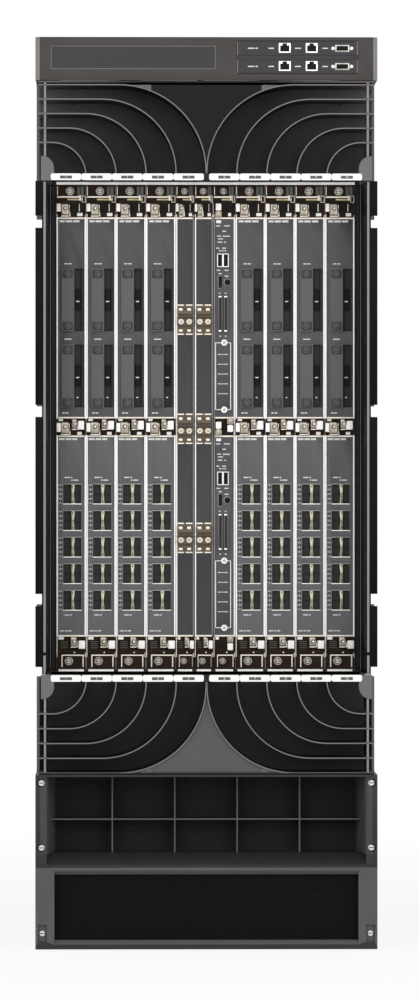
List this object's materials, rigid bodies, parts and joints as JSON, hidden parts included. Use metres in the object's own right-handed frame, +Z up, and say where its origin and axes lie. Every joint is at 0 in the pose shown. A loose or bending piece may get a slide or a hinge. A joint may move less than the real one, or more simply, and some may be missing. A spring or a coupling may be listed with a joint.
{
  "type": "core router",
  "caption": "Tall rack-mount core router chassis with a vertical card cage, curved cable guides above and below it, a framed air inlet, a filter tray and rear fan trays.",
  "frame": {"origin": "middle of the chassis's outline at the level of the base pan's underside", "axes": "+X to the right seen from the front, the front faces -Y, +Z up"},
  "size_m": [0.4826, 0.87, 1.288],
  "materials": {
    "chassis_paint": "dark powder coat on sheet steel",
    "zinc_sheet": "plated sheet steel",
    "circuit_board": "laminate board",
    "header_plastic": "moulded, fine texture",
    "port_plate": "satin paint",
    "guide_plastic": "moulded, satin",
    "label_white": "white label stock",
    "bracket_paint": "black paint",
    "inlet_plastic": "moulded, satin",
    "mesh_paint": "black mesh",
    "bezel_plastic": "moulded, fine texture",
    "filter_foam": "open-cell foam",
    "carrier_metal": "clear-finished sheet",
    "line_face": "grey painted aluminium",
    "fabric_face": "grey painted aluminium",
    "lever_nickel": "bright nickel",
    "power_case": "plain sheet case",
    "fan_plastic": "moulded black"
  },
  "bodies": {
    "root": {"base_pan": "chassis_paint", "left_side_panel": "chassis_paint", "right_side_panel": "chassis_paint", "top_cover": "chassis_paint", "rear_panel": "chassis_paint", "inner_shelves": "zinc_sheet", "midplane": "circuit_board", "header_bezel": "header_plastic", "management_ports": "port_plate", "upper_cable_guide": "guide_plastic", "lower_cable_guide": "guide_plastic", "slot_labels": "label_white", "cable_brackets": "bracket_paint", "inlet_frame": "inlet_plastic", "inlet_mesh": "mesh_paint", "power_modules": "power_case"},
    "filter_tray": {"filter_bezel": "bezel_plastic", "filter_foam": "filter_foam"},
    "fan_tray_left": {"fan_tray_left": "power_case"},
    "fan_rotor_left": {"fan_rotor_left": "fan_plastic"},
    "fan_tray_right": {"fan_tray_right": "power_case"},
    "fan_rotor_right": {"fan_rotor_right": "fan_plastic"},
    "carrier_1": {"carrier_1": "carrier_metal"},
    "line_card_upper_1": {"line_card_upper_1": "line_face"},
    "line_card_lower_1": {"line_card_lower_1": "line_face"},
    "carrier_2": {"carrier_2": "carrier_metal"},
    "line_card_upper_2": {"line_card_upper_2": "line_face"},
    "line_card_lower_2": {"line_card_lower_2": "line_face"},
    "carrier_3": {"carrier_3": "carrier_metal"},
    "line_card_upper_3": {"line_card_upper_3": "line_face"},
    "line_card_lower_3": {"line_card_lower_3": "line_face"},
    "carrier_4": {"carrier_4": "carrier_metal"},
    "line_card_upper_4": {"line_card_upper_4": "line_face"},
    "line_card_lower_4": {"line_card_lower_4": "line_face"},
    "carrier_5": {"carrier_5": "carrier_metal"},
    "line_card_upper_5": {"line_card_upper_5": "line_face"},
    "line_card_lower_5": {"line_card_lower_5": "line_face"},
    "carrier_6": {"carrier_6": "carrier_metal"},
    "line_card_upper_6": {"line_card_upper_6": "line_face"},
    "line_card_lower_6": {"line_card_lower_6": "line_face"},
    "carrier_7": {"carrier_7": "carrier_metal"},
    "line_card_upper_7": {"line_card_upper_7": "line_face"},
    "line_card_lower_7": {"line_card_lower_7": "line_face"},
    "carrier_8": {"carrier_8": "carrier_metal"},
    "line_card_upper_8": {"line_card_upper_8": "line_face"},
    "line_card_lower_8": {"line_card_lower_8": "line_face"},
    "fabric_card_1": {"fabric_card_1": "fabric_face"},
    "fabric_card_2": {"fabric_card_2": "fabric_face"},
    "fabric_card_3": {"fabric_card_3": "fabric_face"},
    "fabric_card_4": {"fabric_card_4": "fabric_face"},
    "fabric_card_5": {"fabric_card_5": "fabric_face"},
    "fabric_card_6": {"fabric_card_6": "fabric_face"},
    "fabric_card_7": {"fabric_card_7": "fabric_face"},
    "fabric_card_8": {"fabric_card_8": "fabric_face"},
    "control_card_upper": {"control_card_upper": "line_face"},
    "control_card_upper_high_lever": {"control_card_upper_high_lever": "lever_nickel"},
    "control_card_upper_low_lever": {"control_card_upper_low_lever": "lever_nickel"},
    "control_card_lower": {"control_card_lower": "line_face"},
    "control_card_lower_high_lever": {"control_card_lower_high_lever": "lever_nickel"},
    "control_card_lower_low_lever": {"control_card_lower_low_lever": "lever_nickel"}
  },
  "joints": [
    {"name": "filter_tray_slide", "type": "slide", "parent": "root", "child": "filter_tray", "axis": [0, -1, 0], "range_m": [0, 0.15]},
    {"name": "fan_tray_left_slide", "type": "slide", "parent": "root", "child": "fan_tray_left", "axis": [0, 1, 0], "range_m": [0, 0.18]},
    {"name": "fan_rotor_left_spin", "type": "hinge", "parent": "fan_tray_left", "child": "fan_rotor_left", "pos_m": [-0.10955, 0.3742, 1.1635], "axis": [0, 1, 0], "continuous": true},
    {"name": "fan_tray_right_slide", "type": "slide", "parent": "root", "child": "fan_tray_right", "axis": [0, 1, 0], "range_m": [0, 0.18]},
    {"name": "fan_rotor_right_spin", "type": "hinge", "parent": "fan_tray_right", "child": "fan_rotor_right", "pos_m": [0.10955, 0.3742, 1.1635], "axis": [0, 1, 0], "continuous": true},
    {"name": "carrier_1_slide", "type": "slide", "parent": "root", "child": "carrier_1", "axis": [0, -1, 0], "range_m": [0, 0.43]},
    {"name": "line_card_upper_1_slide", "type": "slide", "parent": "carrier_1", "child": "line_card_upper_1", "axis": [0, -1, 0], "range_m": [0, 0.33]},
    {"name": "line_card_lower_1_slide", "type": "slide", "parent": "carrier_1", "child": "line_card_lower_1", "axis": [0, -1, 0], "range_m": [0, 0.33]},
    {"name": "carrier_2_slide", "type": "slide", "parent": "root", "child": "carrier_2", "axis": [0, -1, 0], "range_m": [0, 0.43]},
    {"name": "line_card_upper_2_slide", "type": "slide", "parent": "carrier_2", "child": "line_card_upper_2", "axis": [0, -1, 0], "range_m": [0, 0.33]},
    {"name": "line_card_lower_2_slide", "type": "slide", "parent": "carrier_2", "child": "line_card_lower_2", "axis": [0, -1, 0], "range_m": [0, 0.33]},
    {"name": "carrier_3_slide", "type": "slide", "parent": "root", "child": "carrier_3", "axis": [0, -1, 0], "range_m": [0, 0.43]},
    {"name": "line_card_upper_3_slide", "type": "slide", "parent": "carrier_3", "child": "line_card_upper_3", "axis": [0, -1, 0], "range_m": [0, 0.33]},
    {"name": "line_card_lower_3_slide", "type": "slide", "parent": "carrier_3", "child": "line_card_lower_3", "axis": [0, -1, 0], "range_m": [0, 0.33]},
    {"name": "carrier_4_slide", "type": "slide", "parent": "root", "child": "carrier_4", "axis": [0, -1, 0], "range_m": [0, 0.43]},
    {"name": "line_card_upper_4_slide", "type": "slide", "parent": "carrier_4", "child": "line_card_upper_4", "axis": [0, -1, 0], "range_m": [0, 0.33]},
    {"name": "line_card_lower_4_slide", "type": "slide", "parent": "carrier_4", "child": "line_card_lower_4", "axis": [0, -1, 0], "range_m": [0, 0.33]},
    {"name": "carrier_5_slide", "type": "slide", "parent": "root", "child": "carrier_5", "axis": [0, -1, 0], "range_m": [0, 0.43]},
    {"name": "line_card_upper_5_slide", "type": "slide", "parent": "carrier_5", "child": "line_card_upper_5", "axis": [0, -1, 0], "range_m": [0, 0.33]},
    {"name": "line_card_lower_5_slide", "type": "slide", "parent": "carrier_5", "child": "line_card_lower_5", "axis": [0, -1, 0], "range_m": [0, 0.33]},
    {"name": "carrier_6_slide", "type": "slide", "parent": "root", "child": "carrier_6", "axis": [0, -1, 0], "range_m": [0, 0.43]},
    {"name": "line_card_upper_6_slide", "type": "slide", "parent": "carrier_6", "child": "line_card_upper_6", "axis": [0, -1, 0], "range_m": [0, 0.33]},
    {"name": "line_card_lower_6_slide", "type": "slide", "parent": "carrier_6", "child": "line_card_lower_6", "axis": [0, -1, 0], "range_m": [0, 0.33]},
    {"name": "carrier_7_slide", "type": "slide", "parent": "root", "child": "carrier_7", "axis": [0, -1, 0], "range_m": [0, 0.43]},
    {"name": "line_card_upper_7_slide", "type": "slide", "parent": "carrier_7", "child": "line_card_upper_7", "axis": [0, -1, 0], "range_m": [0, 0.33]},
    {"name": "line_card_lower_7_slide", "type": "slide", "parent": "carrier_7", "child": "line_card_lower_7", "axis": [0, -1, 0], "range_m": [0, 0.33]},
    {"name": "carrier_8_slide", "type": "slide", "parent": "root", "child": "carrier_8", "axis": [0, -1, 0], "range_m": [0, 0.43]},
    {"name": "line_card_upper_8_slide", "type": "slide", "parent": "carrier_8", "child": "line_card_upper_8", "axis": [0, -1, 0], "range_m": [0, 0.33]},
    {"name": "line_card_lower_8_slide", "type": "slide", "parent": "carrier_8", "child": "line_card_lower_8", "axis": [0, -1, 0], "range_m": [0, 0.33]},
    {"name": "fabric_card_1_slide", "type": "slide", "parent": "root", "child": "fabric_card_1", "axis": [0, -1, 0], "range_m": [0, 0.43]},
    {"name": "fabric_card_2_slide", "type": "slide", "parent": "root", "child": "fabric_card_2", "axis": [0, -1, 0], "range_m": [0, 0.43]},
    {"name": "fabric_card_3_slide", "type": "slide", "parent": "root", "child": "fabric_card_3", "axis": [0, -1, 0], "range_m": [0, 0.43]},
    {"name": "fabric_card_4_slide", "type": "slide", "parent": "root", "child": "fabric_card_4", "axis": [0, -1, 0], "range_m": [0, 0.43]},
    {"name": "fabric_card_5_slide", "type": "slide", "parent": "root", "child": "fabric_card_5", "axis": [0, -1, 0], "range_m": [0, 0.43]},
    {"name": "fabric_card_6_slide", "type": "slide", "parent": "root", "child": "fabric_card_6", "axis": [0, -1, 0], "range_m": [0, 0.43]},
    {"name": "fabric_card_7_slide", "type": "slide", "parent": "root", "child": "fabric_card_7", "axis": [0, -1, 0], "range_m": [0, 0.43]},
    {"name": "fabric_card_8_slide", "type": "slide", "parent": "root", "child": "fabric_card_8", "axis": [0, -1, 0], "range_m": [0, 0.43]},
    {"name": "control_card_upper_slide", "type": "slide", "parent": "root", "child": "control_card_upper", "axis": [0, -1, 0], "range_m": [0, 0.43]},
    {"name": "control_card_upper_high_lever_hinge", "type": "hinge", "parent": "control_card_upper", "child": "control_card_upper_high_lever", "pos_m": [0.0183, -0.3515, 1.0425], "axis": [1, 0, 0], "range_deg": [0, 70]},
    {"name": "control_card_upper_low_lever_hinge", "type": "hinge", "parent": "control_card_upper", "child": "control_card_upper_low_lever", "pos_m": [0.035, -0.3515, 0.74725], "axis": [-1, 0, 0], "range_deg": [0, 70]},
    {"name": "control_card_lower_slide", "type": "slide", "parent": "root", "child": "control_card_lower", "axis": [0, -1, 0], "range_m": [0, 0.43]},
    {"name": "control_card_lower_high_lever_hinge", "type": "hinge", "parent": "control_card_lower", "child": "control_card_lower_high_lever", "pos_m": [0.0183, -0.3515, 0.73125], "axis": [1, 0, 0], "range_deg": [0, 70]},
    {"name": "control_card_lower_low_lever_hinge", "type": "hinge", "parent": "control_card_lower", "child": "control_card_lower_low_lever", "pos_m": [0.035, -0.3515, 0.436], "axis": [-1, 0, 0], "range_deg": [0, 70]}
  ]
}
